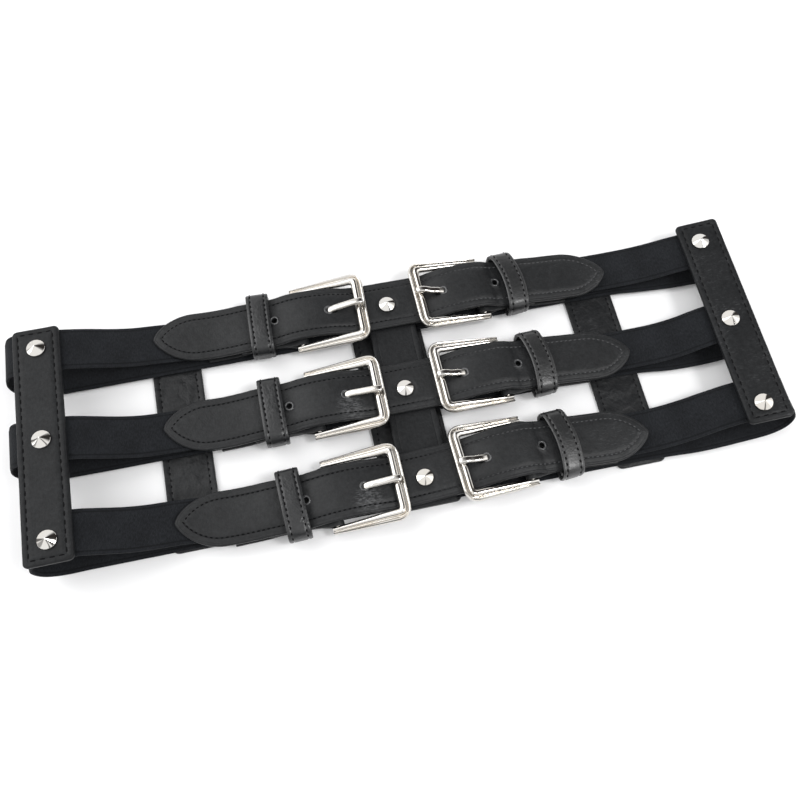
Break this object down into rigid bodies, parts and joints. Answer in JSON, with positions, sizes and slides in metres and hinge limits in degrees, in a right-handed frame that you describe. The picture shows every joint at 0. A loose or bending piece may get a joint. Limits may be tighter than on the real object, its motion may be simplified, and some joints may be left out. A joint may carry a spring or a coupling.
{
  "type": "waist belt",
  "caption": "Wide waist belt of leather straps with small buckles, cone studs and elastic bands, lying flattened with its front up.",
  "frame": {"origin": "centre of the belt's box, on the table surface that it lies on", "axes": "+X along the rows to the viewer's right, +Y up the belt's height, +Z off the table towards the front side's face"},
  "size_m": [0.3524, 0.1225, 0.0322],
  "materials": {
    "leather": "fine-grained charcoal black, semi-matt, with raised stitched rims",
    "elastic": "matt black woven elastic",
    "polished_metal": "polished nickel plate"
  },
  "bodies": {
    "root": {"elastic_band_1": "elastic", "elastic_band_2": "elastic", "elastic_band_3": "elastic", "side_bar_left": "leather", "side_bar_right": "leather", "front_strap_1": "leather", "front_strap_2": "leather", "front_strap_3": "leather", "front_centre_panel": "leather", "rear_centre_panel": "leather", "rear_strip_left": "leather", "rear_strip_right": "leather", "buckle_tab_left_1": "leather", "buckle_tab_left_2": "leather", "buckle_tab_left_3": "leather", "buckle_tab_right_1": "leather", "buckle_tab_right_2": "leather", "buckle_tab_right_3": "leather", "keeper_left_1": "leather", "keeper_left_2": "leather", "keeper_left_3": "leather", "keeper_right_1": "leather", "keeper_right_2": "leather", "keeper_right_3": "leather", "buckle_frame_left_1": "polished_metal", "buckle_frame_left_2": "polished_metal", "buckle_frame_left_3": "polished_metal", "buckle_frame_right_1": "polished_metal", "buckle_frame_right_2": "polished_metal", "buckle_frame_right_3": "polished_metal", "buckle_tongue_left_1": "polished_metal", "buckle_tongue_left_2": "polished_metal", "buckle_tongue_left_3": "polished_metal", "buckle_tongue_right_1": "polished_metal", "buckle_tongue_right_2": "polished_metal", "buckle_tongue_right_3": "polished_metal", "stud_left_1": "polished_metal", "stud_left_2": "polished_metal", "stud_left_3": "polished_metal", "stud_centre_1": "polished_metal", "stud_centre_2": "polished_metal", "stud_centre_3": "polished_metal", "stud_right_1": "polished_metal", "stud_right_2": "polished_metal", "stud_right_3": "polished_metal"}
  },
  "joints": []
}
